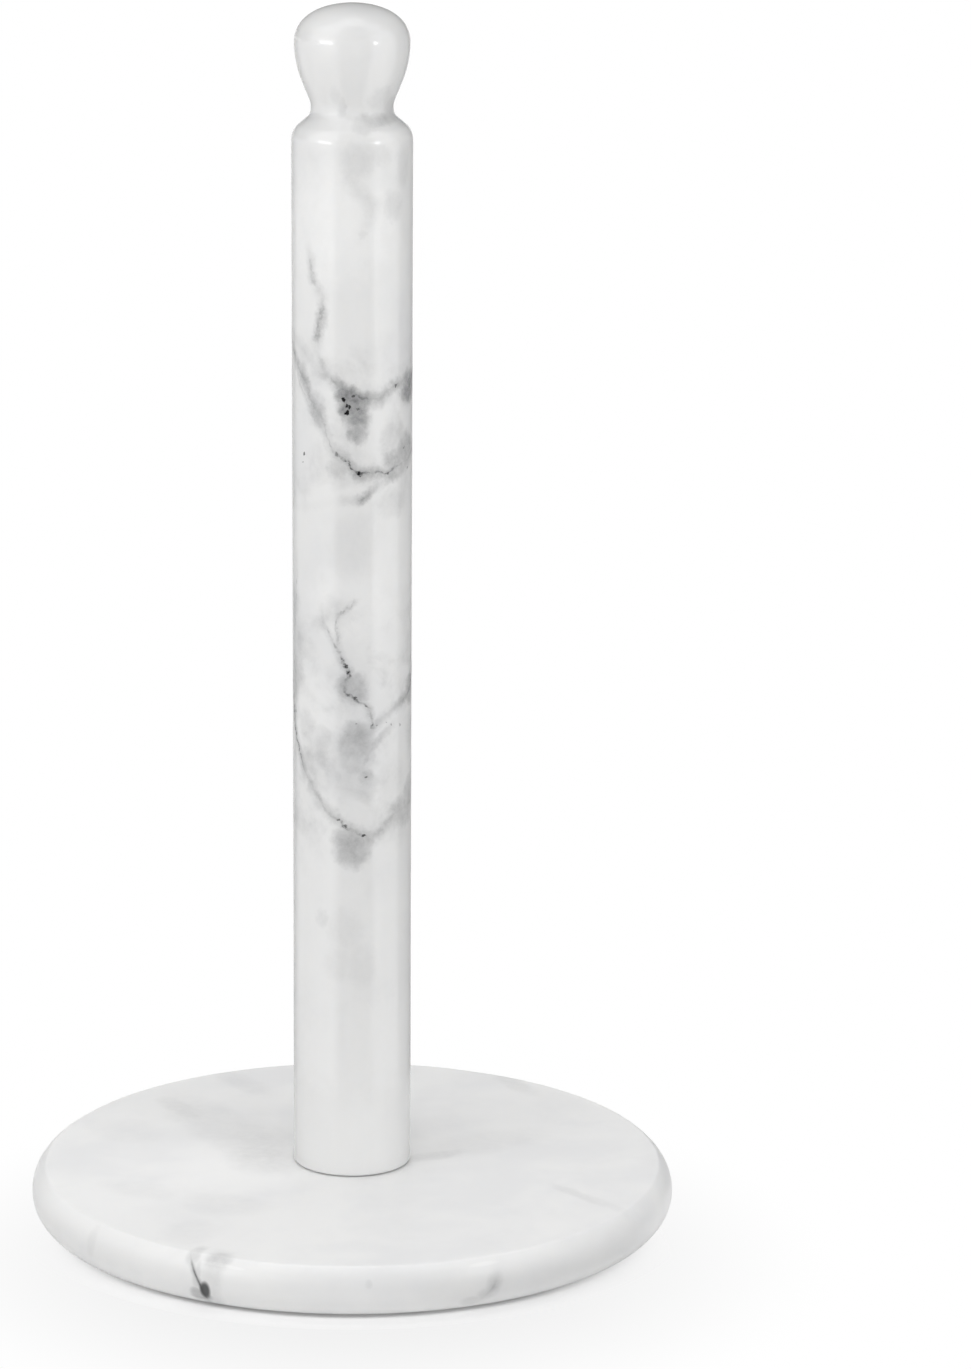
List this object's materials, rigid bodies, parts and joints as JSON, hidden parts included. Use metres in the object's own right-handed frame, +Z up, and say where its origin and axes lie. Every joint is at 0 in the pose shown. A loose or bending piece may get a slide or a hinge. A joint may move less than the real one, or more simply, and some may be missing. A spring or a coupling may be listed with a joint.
{
  "type": "paper towel holder",
  "caption": "Free-standing paper towel holder in polished white marble: a heavy round base with a rounded rim, and a turned pole with a domed knob that unscrews from it.",
  "frame": {"origin": "on the table, under the middle of the base", "axes": "+Z up along the pole, front towards -Y, +X to the right seen from the front"},
  "size_m": [0.165, 0.165, 0.309],
  "materials": {
    "base_marble": "polished white marble with soft grey clouds",
    "pole_marble": "polished white marble with grey veins",
    "nut_steel": "zinc plated, satin",
    "stud_steel": "zinc plated thread",
    "insert_brass": "turned, bare",
    "washer_nylon": "natural nylon",
    "pad_rubber": "matt"
  },
  "bodies": {
    "base": {"base": "base_marble", "base_nut": "nut_steel", "pad_back_right": "pad_rubber", "pad_back_left": "pad_rubber", "pad_front_left": "pad_rubber", "pad_front_right": "pad_rubber"},
    "washer": {"foot_washer": "washer_nylon"},
    "pole": {"pole": "pole_marble", "pole_insert": "insert_brass", "threaded_stud": "stud_steel"}
  },
  "joints": [
    {"name": "pole_rise", "type": "slide", "parent": "base", "child": "washer", "axis": [0, 0, 1], "range_m": [0, 0.00875]},
    {"name": "pole_turn", "type": "hinge", "parent": "washer", "child": "pole", "pos_m": [0, 0, 0.0128], "axis": [0, 0, 1], "range_deg": [0, 2520]}
  ],
  "couplings": [
    {"joint": "pole_turn", "follows": "pole_rise", "rad_per_m": 5026.5}
  ]
}
